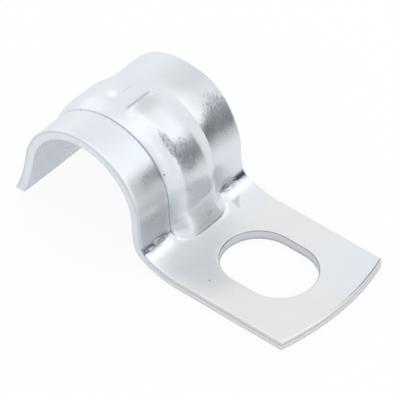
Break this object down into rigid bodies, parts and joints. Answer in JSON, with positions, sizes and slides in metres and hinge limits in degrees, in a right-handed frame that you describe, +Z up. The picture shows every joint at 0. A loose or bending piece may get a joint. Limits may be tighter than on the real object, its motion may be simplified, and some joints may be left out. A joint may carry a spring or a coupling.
{
  "type": "conduit strap",
  "caption": "One-hole strap pressed from steel strip: an arch over a conduit with a stiffening rib, a flared toe, and a flat pad with a slotted screw hole.",
  "frame": {"origin": "centre of the slotted hole, on the underside of the pad", "axes": "+Z up out of the surface the strap is fixed to, +Y along the strap from the pad towards the arch and its toe, +X along the conduit"},
  "size_m": [0.0216, 0.0494, 0.0183],
  "materials": {
    "zinc_plated_steel": "bright zinc plating on smooth pressed steel, satin gloss with a faint blue tint"
  },
  "bodies": {
    "root": {"strap": "zinc_plated_steel"}
  },
  "joints": []
}
